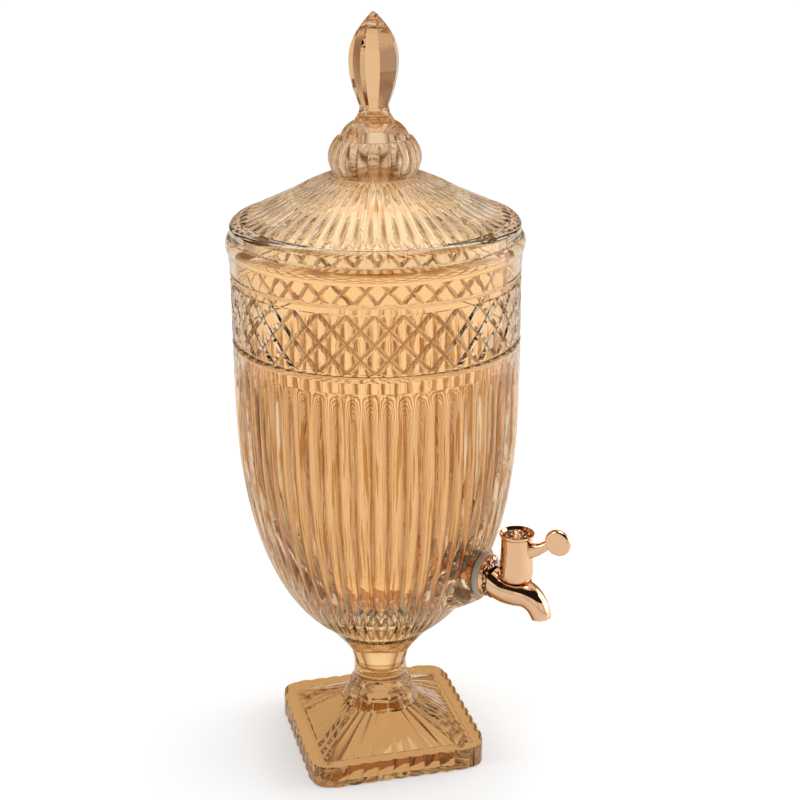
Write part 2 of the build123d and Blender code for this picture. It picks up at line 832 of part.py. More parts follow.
def lever_section(distance, height, width, depth):
    with BuildSketch(Plane(origin=(distance, 0, height), x_dir=(0, 1, 0), z_dir=(1, 0, 0))) as section:
        Ellipse(width / 2, depth / 2)
    return section.sketch.face()


with BuildPart() as handle:
    with BuildSketch(Plane(origin=(valve_x, 0, handle_z), x_dir=(1, 0, 0), z_dir=(0, -1, 0))):
        with BuildLine():
            barrel_side = Spline(
                (handle_r - handle_foot_in, 0),
                (handle_r, handle_belly_h),
                (handle_r - handle_waist, handle_h - handle_lip_h),
                tangents=[(1, 1), (0, 1)],
            )
            Polyline(
                barrel_side @ 1,
                (handle_lip_r, handle_h - handle_lip_h / 2),
                (handle_lip_r, handle_h),
                (handle_lip_r - handle_lip_flat, handle_h),
                (cap_r + cap_fit, handle_h - cap_sink),
                (0, handle_h - cap_sink),
                (0, 0),
                barrel_side @ 0,
            )
        make_face()
    revolve(axis=Axis((valve_x, 0, handle_z), (0, 0, 1)))
    loft(
        [
            lever_section(wall_middle, lever_z, lever_root_w, lever_root_h),
            lever_section(lever_waist_x, handle_top_z - lever_waist_drop, lever_waist_w, lever_waist_h),
            lever_section(paddle_x - paddle_r / 2, paddle_z, lever_tip_w, paddle_r),
        ]
    )
    with BuildSketch(Plane.XY.offset(paddle_z)):
        with BuildLine():
            rim_arc = ThreePointArc(
                (paddle_x + paddle_r - paddle_round, -paddle_t / 2),
                (paddle_x + paddle_r, 0),
                (paddle_x + paddle_r - paddle_round, paddle_t / 2),
            )
            Polyline(rim_arc @ 1, (paddle_x, paddle_t / 2), (paddle_x, -paddle_t / 2), rim_arc @ 0)
        make_face()
    revolve(axis=Axis((paddle_x, 0, paddle_z), (0, 1, 0)))
    with BuildSketch(valve_plane(handle_z)):
        Circle(cup_r)
    extrude(amount=web_z - handle_z, mode=Mode.SUBTRACT)
    with BuildSketch(valve_plane(web_z)):
        Rectangle(drive_side + 2 * drive_fit, drive_side + 2 * drive_fit)
    extrude(amount=drive_h + drive_fit, mode=Mode.SUBTRACT)
    with BuildSketch(valve_plane(web_z)):
        Circle(screw_r + thread_clearance)
    extrude(amount=web_t, mode=Mode.SUBTRACT)
    with BuildSketch(valve_plane(web_z + web_t)):
        Circle(cap_r - cap_ledge)
    extrude(amount=handle_top_z - web_z - web_t, mode=Mode.SUBTRACT)
    with BuildSketch(valve_plane(cap_z)):
        Circle(cap_r + cap_fit)
    extrude(amount=handle_top_z - cap_z, mode=Mode.SUBTRACT)
    lug = quarter_turn - 2 * stop_play
    extrude(stop_sector(valve_plane(web_z), -quarter_turn * 2 + stop_play, lug), amount=-stop_h)
handle.part.label = "tap_handle"
export_step(handle.part, "parts/tap_handle.step")

# Screw that draws the handle down on the plug, and the cap that hides it
with BuildPart() as handle_screw:
    with BuildSketch(valve_plane(web_z + web_t)):
        Circle(screw_r)
    extrude(amount=-screw_length)
    with BuildSketch(valve_plane(web_z + web_t)):
        Circle(screw_head_r)
    extrude(amount=screw_head_t)
    with BuildSketch(valve_plane(web_z + web_t + screw_head_t)):
        Rectangle(2 * screw_head_r, screw_slot_w)
        Rectangle(screw_slot_w, 2 * screw_head_r)
    extrude(amount=-screw_slot_depth, mode=Mode.SUBTRACT)
handle_screw.part.label = "handle_screw"
export_step(handle_screw.part, "parts/handle_screw.step")

with BuildPart() as handle_cap:
    with BuildSketch(valve_plane(cap_z)):
        Circle(cap_r)
    extrude(amount=cap_t)
    chamfer(handle_cap.edges().sort_by(Axis.Z)[-1], cap_t / 4)
handle_cap.part.label = "handle_cap"
export_step(handle_cap.part, "parts/handle_cap.step")
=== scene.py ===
# %% [markdown]
# # An amber pressed-glass drink dispenser
# The solids come ready made in a shared frame: bowl, foot, lid and a small plated tap. This lesson
# gives them their finishes, draws the spout's skin smooth, adds a thread and a bead of adhesive, and
# sets up a small studio round them. Sizes are in metres, +Z is up and +X points along the tap.

from math import cos, pi, radians, sin

import bmesh
import bpy
from mathutils import Matrix, Vector


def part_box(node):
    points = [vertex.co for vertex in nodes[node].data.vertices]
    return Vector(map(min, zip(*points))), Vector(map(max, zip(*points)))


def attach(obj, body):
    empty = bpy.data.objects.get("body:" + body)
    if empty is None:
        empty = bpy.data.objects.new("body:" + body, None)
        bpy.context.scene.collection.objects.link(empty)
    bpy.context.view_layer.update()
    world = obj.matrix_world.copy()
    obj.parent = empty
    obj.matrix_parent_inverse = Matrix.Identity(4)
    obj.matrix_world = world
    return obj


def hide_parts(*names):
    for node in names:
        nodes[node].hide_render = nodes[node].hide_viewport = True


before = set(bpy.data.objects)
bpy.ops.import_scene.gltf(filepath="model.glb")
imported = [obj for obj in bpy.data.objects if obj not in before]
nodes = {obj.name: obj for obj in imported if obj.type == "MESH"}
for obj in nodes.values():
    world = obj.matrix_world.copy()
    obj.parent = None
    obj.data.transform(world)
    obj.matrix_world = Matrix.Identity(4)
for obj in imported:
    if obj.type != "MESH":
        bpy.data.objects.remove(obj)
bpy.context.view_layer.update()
scene = bpy.context.scene
print("nodes:", ", ".join(sorted(nodes)))

# %% [markdown]
# ## Writing finishes as sums
# A finish is a small network of shader nodes. Wiring them by hand hides the idea, so one class wraps a
# socket and lets a sum such as `1 - mask` add the Math nodes by itself. A second class holds a node tree
# and adds any other node in one line, and a third one does so for a material.


# %% A socket that can be used in sums
class Wire:
    """One output of a shader node. Sums written with it add Math nodes to the same sheet."""

    def __init__(self, sheet, socket):
        self.sheet = sheet
        self.socket = socket

    def math(self, operation, *others):
        return self.sheet.math(operation, self, *others)

    def __add__(self, other):
        return self.math("ADD", other)

    def __sub__(self, other):
        return self.math("SUBTRACT", other)

    def __rsub__(self, other):
        return self.sheet.math("SUBTRACT", other, self)

    def __mul__(self, other):
        return self.math("MULTIPLY", other)

    def __truediv__(self, other):
        return self.math("DIVIDE", other)

    def __rtruediv__(self, other):
        return self.sheet.math("DIVIDE", other, self)

    __radd__ = __add__
    __rmul__ = __mul__

    def rise(self, low, high):
        """0 below low, 1 above high and a soft step between."""
        settings = {"interpolation_type": "SMOOTHSTEP"}
        inputs = {"Value": self, "From Min": low, "From Max": high}
        return self.sheet.node("ShaderNodeMapRange", settings, inputs)

    def between(self, low, high, soft):
        """1 from low to high, 0 outside, with soft edges."""
        return self.rise(low - soft, low) * (1 - self.rise(high, high + soft))


# %% A sheet of nodes
# A Mix node has sockets for numbers, vectors and colours. These are the places of the colour ones.
MIX_FIRST = 6
MIX_SECOND = 7
MIX_RESULT = 2


class Sheet:
    """A node tree, and one way to add any node to it."""

    def __init__(self, tree):
        self.tree = tree

    def node(self, kind, settings=None, inputs=None, output=0):
        made = self.tree.nodes.new(kind)
        for name, value in (settings or {}).items():
            setattr(made, name, value)
        for key, value in (inputs or {}).items():
            self.feed(made.inputs[key], value)
        return Wire(self, made.outputs[output]) if made.outputs else made

    def feed(self, socket, value):
        if isinstance(value, Wire):
            self.tree.links.new(value.socket, socket)
        else:
            socket.default_value = value

    def math(self, operation, *values):
        return self.node("ShaderNodeMath", {"operation": operation}, dict(enumerate(values)))

    def split(self, vector):
        made = self.node("ShaderNodeSeparateXYZ", inputs={0: vector}).socket.node
        return [Wire(self, output) for output in made.outputs]

    def mix(self, share, first, second):
        """First colour where share is 0, second where it is 1."""
        inputs = {"Factor": share, MIX_FIRST: first, MIX_SECOND: second}
        return self.node("ShaderNodeMix", {"data_type": "RGBA"}, inputs, MIX_RESULT)

    def ray(self, kind):
        """1 for light of one kind, such as Is Camera Ray, and 0 for the rest."""
        return self.node("ShaderNodeLightPath", output=kind)


# %% A material that is filled in by name
class Finish(Sheet):
    """A material whose Principled shader is filled in by name."""

    def __init__(self, name, **values):
        self.material = bpy.data.materials.new(name)
        self.material.use_nodes = True
        super().__init__(self.material.node_tree)
        self.shader = self.tree.nodes["Principled BSDF"]
        self.set(**values)

    def set(self, **values):
        for name, value in values.items():
            self.feed(self.shader.inputs[name.replace("_", " ")], value)

    def places(self):
        return self.node("ShaderNodeTexCoord", output="Object")

    def grain(self, scale, detail=2.0, stretch=(1, 1, 1)):
        """Noise in the object's own space, stretched along chosen axes."""
        mapped = self.node("ShaderNodeMapping", inputs={"Vector": self.places(), "Scale": stretch})
        return self.node("ShaderNodeTexNoise", inputs={"Vector": mapped, "Scale": scale, "Detail": detail})

    def haze(self, least, extra, scale, detail=2.0, stretch=(1, 1, 1)):
        """Roughness of least, and up to extra more where the grain is high."""
        return least + extra * self.grain(scale, detail, stretch)

    def dents(self, scale):
        """Round hammer marks that meet in sharp edges."""
        return self.node("ShaderNodeTexVoronoi", inputs={"Vector": self.places(), "Scale": scale})

    def bumps(self, height, depth=1.0):
        """Normal that follows a height map. One unit of height is depth metres."""
        return self.node("ShaderNodeBump", inputs={"Height": height, "Distance": depth, "Strength": 1.0})

    def paint(self, *pieces):
        for piece in pieces:
            piece.data.materials.clear()
            piece.data.materials.append(self.material)
        print(self.material.name, "on", ", ".join(piece.name for piece in pieces))


# %% [markdown]
# ## Opening the bond
# Bowl and foot are two pressings, joined by clear adhesive where the stem meets the foot. Light passes
# such a joint as if it were not there, but two solids that merely touch would mirror it. So each gets a
# copy without the flat disc at the joint, and the copies stand for the solids.


# %% A piece that rides on the dispenser
def placed(name, mesh):
    """New object for a mesh, which moves with the dispenser."""
    piece = bpy.data.objects.new(name, mesh)
    scene.collection.objects.link(piece)
    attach(piece, "dispenser")
    return piece


def trimmed(name, source, unwanted):
    """Copy of a node without the faces that a test picks out. The copy stands for the node."""
    mesh = nodes[source].data.copy()
    shape = bmesh.new()
    shape.from_mesh(mesh)
    lost = [face for face in shape.faces if unwanted(face)]
    bmesh.ops.delete(shape, geom=lost, context="FACES")
    shape.to_mesh(mesh)
    shape.free()
    piece = placed(name, mesh)
    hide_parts(source)
    print(name, "keeps", len(mesh.polygons), "faces, without", len(lost))
    return piece


# %% Bowl and foot without the discs at the joint
SAME_HEIGHT = 1e-6
joint_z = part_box("glass_foot")[1][2]


def at_joint(face):
    return all(abs(vert.co.z - joint_z) < SAME_HEIGHT for vert in face.verts)


open_bowl = trimmed("open_bowl", "glass_bowl", at_joint)
open_foot = trimmed("open_foot", "glass_foot", at_joint)

# %% [markdown]
# ## Amber glass
# The real piece is clear pressed glass with a see-through amber coat, so a solid stem is no darker than
# a thin wall. A tint on the surface does that, where coloured volume would turn the stem brown. Light
# crosses four tinted faces in the hollow bowl and only two in the stem and the finial, so the solid
# parts get a deeper tint. Pressed glass is never quite flat: a slow wave and a fine ripple bend what is
# seen through it.
#
# The coat is not even. Between the reeds a deeper colour is painted as shade, faint on their slopes and
# dark and streaky at the bottom of each valley, and the coat lies thicker in fine lines drawn down the
# outside. In the grooves of the cut band a wheel has thinned it and left the glass a little dull, so
# they are pale, with a line of painted shade on their floor. All this is worked out from the height, the
# turn round the axis and the distance from it, so it needs no picture. The inside of the lid's bulb is
# dull too: if it were clear, its ribs would bend the room into shapes that catch the eye.

# %% Painted shade between the reeds, and fine lines
NOISE_MIDDLE = 0.5
REED_WANDER = 1.6
WANDER_SCALE = 70
WANDER_STRETCH = (1, 1, 0.4)
SLOPE_LEVELS = (-0.3, 1.0)
SLOPE_SHARE = 0.45
BOTTOM_LEVELS = (0.75, 1.0)
BOTTOM_LEAST = 0.2
STREAK_SCALE = 110
STREAK_STRETCH = (1, 1, 0.2)
STREAK_LEVELS = (0.40, 0.62)
LINE_SCALE = 60.0
LINE_LEVELS = (0.55, 0.63)
LINE_DRIFT = 0.4
FACING_OUT = 0.0001


def painted_valley_shade(glass, x, y, reeds):
    """Share of painted shade between reeds: faint on their slopes and streaky at the bottom."""
    turn = glass.math("ARCTAN2", y, x)
    wander = REED_WANDER * (glass.grain(WANDER_SCALE, stretch=WANDER_STRETCH) - NOISE_MIDDLE)
    depth = 0 - (turn * reeds + wander).math("COSINE")
    streak = glass.grain(STREAK_SCALE, stretch=STREAK_STRETCH).rise(*STREAK_LEVELS)
    bottom = depth.rise(*BOTTOM_LEVELS) * (BOTTOM_LEAST + (1 - BOTTOM_LEAST) * streak)
    return SLOPE_SHARE * depth.rise(*SLOPE_LEVELS) + bottom


def drawn_lines(glass, x, y, height, radius):
    """Fine lines down a pressing. Each keeps its turn round the axis, however wide the glass is."""
    spot = glass.node("ShaderNodeCombineXYZ", inputs={0: x / radius, 1: y / radius, 2: height * LINE_DRIFT})
    noise = glass.node("ShaderNodeTexNoise", inputs={"Vector": spot, "Scale": LINE_SCALE, "Detail": 1.0})
    return noise.rise(*LINE_LEVELS)


def outer_faces(glass, x, y):
    """1 on faces that look away from the axis and 0 on the others, from whichever side they are seen."""
    face_x, face_y, _ = glass.split(glass.node("ShaderNodeNewGeometry", output="Normal"))
    flip = 1 - 2 * glass.node("ShaderNodeNewGeometry", output="Backfacing")
    return ((face_x * x + face_y * y) * flip).rise(0.0, FACING_OUT)


# %% How the glass is put together
CUT_TINT = (0.97, 0.80, 0.58, 1)
# Dark tint for the painted shade between reeds and on the groove floors, and for the fine lines.
SHADE_AND_LINE_TINT = (0.49, 0.21, 0.04, 1)
SHEEN_TINT = (1.0, 0.74, 0.48, 1)
GLASS_BEND = 1.5
SLOW_WAVE = 0.00022
SLOW_SCALE = 28
FINE_RIPPLE = 0.00003
FINE_SCALE = 170
BAND_HEIGHTS = (0.2753, 0.3087)
GROOVE_RADII = (0.0830, 0.0852)
GROOVE_EDGE = 0.0003
GROOVE_DULL = 0.12
# Painted shade along the floor of each groove in the cut band.
FLOOR_RADII = (0.0830, 0.0845)
FLOOR_EDGE = 0.0002
GROOVE_FLOOR_SHADE = 0.8
REED_FADE = 0.008
LINE_FADE = 0.003
BULB_HEIGHTS = (0.368, 0.388)
BULB_FADE = 0.003
BULB_DULL = 0.2


def amber_glass(name, shell, solid, solid_heights, reeds, reed_heights, valley_shade, lines, line_heights):
    """Amber glass of a pressing that is a shell, and turns solid from one height to the other."""
    glass = Finish(name, IOR=GLASS_BEND, Transmission_Weight=1.0, Specular_Tint=SHEEN_TINT)
    x, y, height = glass.split(glass.places())
    radius = (x * x + y * y).math("SQRT")
    outer = outer_faces(glass, x, y)
    band = height.between(*BAND_HEIGHTS, GROOVE_EDGE)
    groove = band * radius.between(*GROOVE_RADII, GROOVE_EDGE)
    rows = height.between(*reed_heights, REED_FADE)
    ruled = outer * height.between(*line_heights, LINE_FADE)
    # Painted shade between the reeds and the fine dark lines, mixed in with one dark tint.
    shade_and_lines = valley_shade * rows * painted_valley_shade(glass, x, y, reeds)
    shade_and_lines += lines * ruled * drawn_lines(glass, x, y, height, radius)
    # A line of painted shade on the floor of each groove in the cut band.
    shade_and_lines += GROOVE_FLOOR_SHADE * band * radius.between(*FLOOR_RADII, FLOOR_EDGE)
    tint = glass.mix(height.rise(*solid_heights), shell, solid)
    coat = glass.mix(groove, tint, CUT_TINT)
    bulb = (1 - outer) * height.between(*BULB_HEIGHTS, BULB_FADE)
    wave = glass.grain(SLOW_SCALE, detail=1.0) * SLOW_WAVE
    wave += glass.grain(FINE_SCALE, detail=1.0) * FINE_RIPPLE
    glass.set(
        Base_Color=glass.mix(shade_and_lines, coat, SHADE_AND_LINE_TINT),
        Roughness=GROOVE_DULL * groove + BULB_DULL * bulb,
        Normal=glass.bumps(wave),
    )
    return glass


# %% Glass for the bowl, foot and lid
BOWL_TINT = (1.0, 0.77, 0.51, 1)
STEM_TINT = (0.97, 0.62, 0.28, 1)
# The foot's tint is darker than the stem's: painted shade for the shadow the foot sits in.
FOOT_SHADED_TINT = (0.60, 0.325, 0.125, 1)
LID_TINT = (0.92, 0.79, 0.61, 1)
FINIAL_TINT = (0.80, 0.49, 0.25, 1)
bowl_glass = amber_glass(
    "amber_glass_bowl",
    shell=BOWL_TINT,
    solid=STEM_TINT,
    solid_heights=(0.100, 0.080),
    reeds=56,
    reed_heights=(0.090, 0.258),
    valley_shade=0.7,
    lines=1.0,
    line_heights=(0.080, 0.262),
)
# The foot's glass carries painted shade in its darker tint.
foot_glass = amber_glass(
    "amber_glass_foot",
    shell=FOOT_SHADED_TINT,
    solid=FOOT_SHADED_TINT,
    solid_heights=(0.0, 0.1),
    reeds=0,
    reed_heights=(0.0, 0.1),
    valley_shade=0.0,
    lines=0.3,
    line_heights=(0.0, 0.036),
)
lid_glass = amber_glass(
    "amber_glass_lid",
    shell=LID_TINT,
    solid=FINIAL_TINT,
    solid_heights=(0.350, 0.415),
    reeds=24,
    reed_heights=(0.374, 0.386),
    valley_shade=1.0,
    lines=0.8,
    line_heights=(0.340, 0.372),
)
bowl_glass.paint(open_bowl)
foot_glass.paint(open_foot)
lid_glass.paint(nodes["glass_lid"])

# %% [markdown]
# ## Rose plating
# The tap is a casting polished and plated in a pale rose gold. A mirror finish lives from what it
# reflects, so the finish only needs its colour, a little polishing haze and a wave left by the buffing
# wheel. The short cone between flange and spout and the small cap are hammered, so they glitter: round
# dents bend the reflections, and the edges between them are painted dark, as shade.

# %% Plating for the tap
ROSE = (0.80, 0.50, 0.295, 1)
# Dark colour painted as shade on the edges between hammer dents.
PAINTED_DENT_SHADE = (0.10, 0.045, 0.03, 1)
POLISH = {"least": 0.04, "extra": 0.05, "scale": 240, "detail": 3.0}
BUFF_SCALE = 70
BUFF_DEPTH = 0.00008
DENT_SCALE = 420
DENT_DEPTH = 0.0011
DENT_EDGE = (0.35, 0.6)
rose = Finish("rose_plating", Metallic=1.0, Base_Color=ROSE)
rose.set(
    Roughness=rose.haze(**POLISH),
    Normal=rose.bumps(rose.grain(BUFF_SCALE), BUFF_DEPTH),
)
rose.paint(nodes["tap_handle"], nodes["lock_nut"], nodes["slip_washer"])

hammered = Finish("hammered_rose_plating", Metallic=1.0)
hammered.set(
    # Painted shade on the edges between the dents.
    Base_Color=hammered.mix(hammered.dents(DENT_SCALE).rise(*DENT_EDGE), ROSE, PAINTED_DENT_SHADE),
    Roughness=hammered.haze(least=0.05, extra=0.06, scale=300),
    Normal=hammered.bumps(hammered.dents(DENT_SCALE), DENT_DEPTH),
)
hammered.paint(nodes["handle_cap"])

# %% [markdown]
# ## A smooth spout
# The solid spout is lofted through six rings, and its skin ripples a little between them. A mirror
# finish shows each ripple, so the skin is drawn again: a line through six rings close to those is
# relaxed, each point moving toward its neighbours, until it is smooth, and every point of it carries a
# ring of the tube. At the outlet the tube turns in over a flat lip and a little way up the waterway. A
# copy of the casting without its own skin keeps the flange, shank, bore, waterway and the flat that the
# handle sits on. The upright wall under that flat goes with the skin, so the flat overhangs a little at
# its two sides.


# %% A new piece from points and faces
def new_piece(name, points, faces):
    mesh = bpy.data.meshes.new(name)
    mesh.from_pydata(points, [], faces)
    mesh.shade_smooth()
    print(name, "with", len(faces), "faces")
    return placed(name, mesh)


# %% A line relaxed through six rings
# Each ring has a place along the tap and a drop, both from where the valve crosses its axis, and a radius.
SPOUT_RINGS = (
    (-0.0171, 0.0018, 0.0088),
    (-0.0087, 0.0064, 0.0089),
    (0.0000, 0.0061, 0.0094),
    (0.0082, 0.0058, 0.0083),
    (0.0149, 0.0119, 0.0069),
    (0.0175, 0.0195, 0.0061),
)
STEPS_BETWEEN = 12
RELAX_PASSES = 60


def relaxed(rings, steps, passes):
    """Points between the rings, smoothed. Each holds a place along, a drop and a radius."""
    line = []
    for start, end in zip(rings, rings[1:]):
        for k in range(steps):
            line.append(tuple(a + (b - a) * k / steps for a, b in zip(start, end)))
    line.append(rings[-1])
    for _ in range(passes):
        threes = zip(line, line[1:], line[2:])
        inner = [tuple((a + 2 * b + c) / 4 for a, b, c in zip(*three)) for three in threes]
        line = [line[0], *inner, line[-1]]
    return line


spout_line = relaxed(SPOUT_RINGS, STEPS_BETWEEN, RELAX_PASSES)
print("spout line with", len(spout_line), "points")

# %% Rings of the spout in their places
OUTLET_TILT = radians(81)
tap_low, tap_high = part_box("outer_washer")
tap_z = (tap_low[2] + tap_high[2]) / 2
cap_low, cap_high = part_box("handle_cap")
valve_x = (cap_low[0] + cap_high[0]) / 2
rings = []
for k, (along, drop, radius) in enumerate(spout_line):
    before, after = spout_line[max(k - 1, 0)], spout_line[min(k + 1, len(spout_line) - 1)]
    way = Vector((after[0] - before[0], 0, before[1] - after[1])).normalized()
    rings.append((Vector((valve_x + along, 0, tap_z - drop)), way, radius))
outlet = rings[-1][0]
outlet_way = Vector((cos(OUTLET_TILT), 0, -sin(OUTLET_TILT)))
print("outlet at", [round(place, 4) for place in outlet])

# %% The casting without its skin
# Arms are measured in radii of the nearest ring. The loft dips to about 0.7 of one outside the bend, and
# the waterway stays well inside that.
NECK_X = 0.0812
HANDLE_ROOM = 0.0104
HANDLE_FLOOR = 0.0015
SEAT_SHRINK = 0.99
LIP_DEPTH = 0.0015
END_SLACK = 0.0002
WATERWAY_FACING = -0.8
LEAST_ARM = 0.68
LEAST_FACING = 0.06
CLEAR_ARM = 1.02


def under_handle(point):
    reach = Vector((point[0] - valve_x, point[1])).length
    return reach < HANDLE_ROOM and point[2] > tap_z + HANDLE_FLOOR


def on_skin(face):
    """True for faces of the lofted skin and of the outlet's end, but not for the waterway's wall."""
    spot = face.calc_center_median()
    if spot.x < NECK_X or under_handle((spot.x, spot.y * SEAT_SHRINK, spot.z)):
        return False
    arm = min(((spot - centre) / radius for centre, _, radius in rings), key=lambda each: each.length)
    outward = face.normal.dot(arm.normalized())
    past = (spot - outlet).dot(outlet_way)
    if past > -END_SLACK or (past > -LIP_DEPTH and outward > WATERWAY_FACING):
        return True
    return arm.length > CLEAR_ARM or (arm.length > LEAST_ARM and outward > LEAST_FACING)


casting = trimmed("tap_casting", "tap_body", on_skin)

# %% The new skin, with its lip
SPOUT_SIDES = 64
LIP_R = 0.0058
FLOW_R = 0.0032
SHARP_EDGE = radians(50)
rings[-1:] = [
    (outlet, outlet_way, LIP_R),
    (outlet, outlet_way, FLOW_R),
    (outlet - outlet_way * LIP_DEPTH, outlet_way, FLOW_R),
]
points = []
for centre, way, radius in rings:
    across = Vector((-way.z, 0, way.x))
    for j in range(SPOUT_SIDES):
        turn = 2 * pi * j / SPOUT_SIDES
        spot = centre + Vector((0, radius * cos(turn), 0)) + across * radius * sin(turn)
        if under_handle(spot):
            spot.z = tap_z + HANDLE_FLOOR
        points.append(spot)
faces = []
for k in range(len(rings) - 1):
    for j in range(SPOUT_SIDES):
        here, beside = k * SPOUT_SIDES + j, k * SPOUT_SIDES + (j + 1) % SPOUT_SIDES
        faces.append((here, here + SPOUT_SIDES, beside + SPOUT_SIDES, beside))
skin = new_piece("spout_skin", points, faces)
skin.data.set_sharp_from_angle(angle=SHARP_EDGE)
rose.paint(skin)

# %% Plating for the casting, hammered on its cone
CONE_PLACES = (0.0792, 0.0835)
CONE_EDGE = 0.0004
cast = Finish("cast_rose_plating", Metallic=1.0)
cone = cast.split(cast.places())[0].between(*CONE_PLACES, CONE_EDGE)
buffed = cast.grain(BUFF_SCALE) * BUFF_DEPTH
cast.set(
    # Painted shade on the edges between the dents of the cone.
    Base_Color=cast.mix(cone * cast.dents(DENT_SCALE).rise(*DENT_EDGE), ROSE, PAINTED_DENT_SHADE),
    Roughness=cast.haze(**POLISH),
    Normal=cast.bumps(buffed + cone * cast.dents(DENT_SCALE) * DENT_DEPTH),
)
cast.paint(casting)

# %% [markdown]
# ## Seals and hidden parts
# The washers are milky silicone, which lets light in a little way. The plug and gland are turned acetal,
# the O-rings nitrile and the screw plain steel. They hardly show, but someone may take the tap apart.
# The marks of turning are a grain squeezed along the axis.

# %% Silicone, acetal, nitrile and steel
silicone = Finish("milky_silicone", Base_Color=(0.60, 0.54, 0.45, 1), Subsurface_Weight=0.3)
silicone.set(
    Subsurface_Radius=(0.004, 0.004, 0.004),
    Roughness=silicone.haze(least=0.38, extra=0.2, scale=400),
    Normal=silicone.bumps(silicone.grain(scale=700), depth=0.00003),
)
silicone.paint(nodes["outer_washer"], nodes["inner_washer"])

acetal = Finish("turned_acetal", Base_Color=(0.80, 0.79, 0.74, 1))
acetal.set(Roughness=acetal.haze(least=0.35, extra=0.2, scale=600, stretch=(1, 1, 12)))
acetal.paint(nodes["valve_plug"], nodes["gland_ring"])

nitrile = Finish("moulded_nitrile", Base_Color=(0.03, 0.03, 0.03, 1))
nitrile.set(Roughness=nitrile.haze(least=0.5, extra=0.2, scale=900))
nitrile.paint(nodes["lower_o_ring"], nodes["upper_o_ring"])

steel = Finish("turned_steel", Metallic=1.0, Base_Color=(0.55, 0.55, 0.56, 1))
steel.set(Roughness=steel.haze(least=0.25, extra=0.2, scale=800, stretch=(1, 1, 10)))
steel.paint(nodes["handle_screw"])

# %% [markdown]
# ## Thread and adhesive
# A screw thread is one ridge wound round the shank, so it is built that way: three points for the
# ridge's cross-section, carried along a helix, and joined to the three before them. The ridge grows out
# of the shank at its start and dies into it at its end. The bead that shows round the bonded joint is a
# thin ring of set adhesive, coloured dark brown as painted shade for the dark line at the joint.

# %% A ridge that follows a helix
SHANK_R = 0.0080
THREAD_PITCH = 0.0014
THREAD_HEIGHT = 0.00022
THREAD_ROOT = 0.00006
THREAD_FLANK = 0.4
THREAD_STEPS = 40


def thread(name, start, end):
    """Thread ridge round the shank, between two places along the tap."""
    turns = (end - start) / THREAD_PITCH
    root = SHANK_R - THREAD_ROOT
    points = []
    for k in range(int(turns * THREAD_STEPS) + 1):
        turn = k / THREAD_STEPS
        crest = SHANK_R + THREAD_HEIGHT * min(1, turn, turns - turn)
        for along, radius in ((-THREAD_FLANK, root), (0, crest), (THREAD_FLANK, root)):
            x = start + THREAD_PITCH * (turn + along)
            points.append((x, radius * cos(2 * pi * turn), tap_z + radius * sin(2 * pi * turn)))
    faces = []
    for a in range(0, len(points) - 3, 3):
        faces += [(a, a + 3, a + 4, a + 1), (a + 1, a + 4, a + 5, a + 2)]
    return new_piece(name, points, faces)


shank_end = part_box("tap_body")[0][0]
nut_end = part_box("lock_nut")[0][0]
hole_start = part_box("inner_washer")[1][0]
rose.paint(
    thread("shank_thread_end", shank_end + THREAD_PITCH, nut_end - THREAD_PITCH / 2),
    thread("shank_thread_middle", hole_start + THREAD_PITCH / 2, tap_low[0] - THREAD_PITCH / 2),
)

# %% Bead of adhesive at the joint
STEM_R = 0.0164
BEAD_R = 0.00028
BEAD_STEPS = 72
BEAD_SIDES = 8
points = []
faces = []
for k in range(BEAD_STEPS):
    turn = 2 * pi * k / BEAD_STEPS
    here, after = k * BEAD_SIDES, (k + 1) % BEAD_STEPS * BEAD_SIDES
    for j in range(BEAD_SIDES):
        roll = 2 * pi * j / BEAD_SIDES
        radius = STEM_R - BEAD_R / 2 + BEAD_R * cos(roll)
        points.append((radius * cos(turn), radius * sin(turn), joint_z + BEAD_R * sin(roll)))
        beside = (j + 1) % BEAD_SIDES
        faces.append((here + j, after + j, after + beside, here + beside))
# The bead is real, but its dark brown colour is painted shade: it draws the dark line at the joint.
adhesive = Finish("set_adhesive", Base_Color=(0.30, 0.17, 0.07, 1))
adhesive.set(Roughness=adhesive.haze(least=0.25, extra=0.2, scale=500))
adhesive.paint(new_piece("adhesive_bead", points, faces))

# %% [markdown]
# ## The studio
# Glass on white shows its shape by what is dark. Seen through the glass, the room is white straight
# behind it and brown to either side, so the middle stays bright and the edges darken. Ten pale panels
# break the brown up: each reed is a small lens that squeezes the room into a few millimetres, so every
# gap between panels becomes a fine line. A brown ledge runs round above them.
#
# A polished face may mirror another room, because the world shader can ask what kind of light it
# answers. That room is white with an amber wall on the far side, and a black shelf above the camera,
# which draws the dark band on the spout. Softer light is grey, and the camera itself only sees white.

# %% Directions in the room
CAMERA_TURN = 30.74
PANELS = 10
PANEL_EDGE = (-0.1, 0.3)
world = bpy.data.worlds.new("studio_room")
scene.world = world
world.use_nodes = True
room = Sheet(world.node_tree)
room.tree.nodes.clear()
toward_x, toward_y, upward = room.split(room.node("ShaderNodeTexCoord", output="Generated"))
from_back = room.math("ARCTAN2", toward_y, toward_x) - radians(90 + CAMERA_TURN)
backward = from_back.math("COSINE")
panel = (from_back * PANELS).math("COSINE").rise(*PANEL_EDGE)
print("room with", PANELS, "panels")

